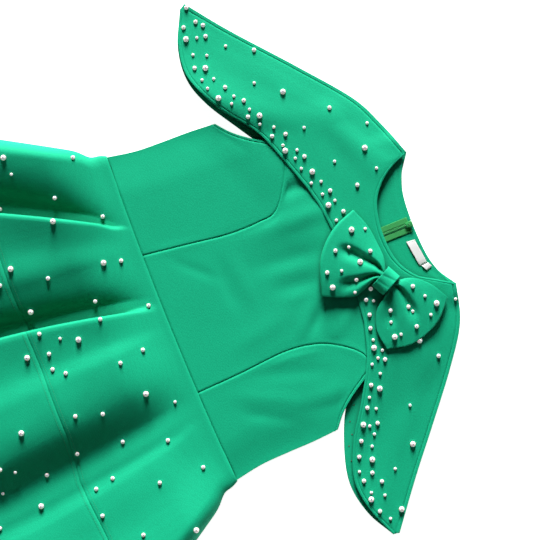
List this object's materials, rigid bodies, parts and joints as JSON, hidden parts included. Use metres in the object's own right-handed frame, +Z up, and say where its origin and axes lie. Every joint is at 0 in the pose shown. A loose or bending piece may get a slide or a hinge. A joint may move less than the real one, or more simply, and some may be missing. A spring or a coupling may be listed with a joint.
{
  "type": "cocktail dress laid flat",
  "caption": "Fitted green knit dress with a pearl-trimmed cape collar, a bow and a fluted tiered skirt, laid flat on its back.",
  "frame": {"origin": "on the surface the dress lies on, under the middle of its box", "axes": "+Y towards the neck, +X towards the wearer's left side, +Z up from the surface"},
  "size_m": [0.9591, 0.8681, 0.0455],
  "materials": {
    "green_knit": "matte double knit with a soft smooth face",
    "zip_tape": "woven tape",
    "zip_plastic": "satin moulded",
    "label_satin": "white satin ribbon"
  },
  "bodies": {
    "root": {"bodice_front_centre": "green_knit", "bodice_front_side_left": "green_knit", "bodice_front_side_right": "green_knit", "bodice_back_left": "green_knit", "bodice_back_right": "green_knit", "cape_front": "green_knit", "cape_back_left": "green_knit", "cape_back_right": "green_knit", "skirt_front_upper": "green_knit", "skirt_front_lower": "green_knit", "skirt_back_upper_left": "green_knit", "skirt_back_upper_right": "green_knit", "skirt_back_lower": "green_knit", "bow_loop_left": "green_knit", "bow_loop_right": "green_knit", "bow_knot": "green_knit", "zip_tape_left": "zip_tape", "zip_tape_right": "zip_tape", "zip_coil": "zip_plastic", "zip_slider": "zip_plastic", "neck_label": "label_satin", "size_tab": "label_satin"}
  },
  "joints": []
}
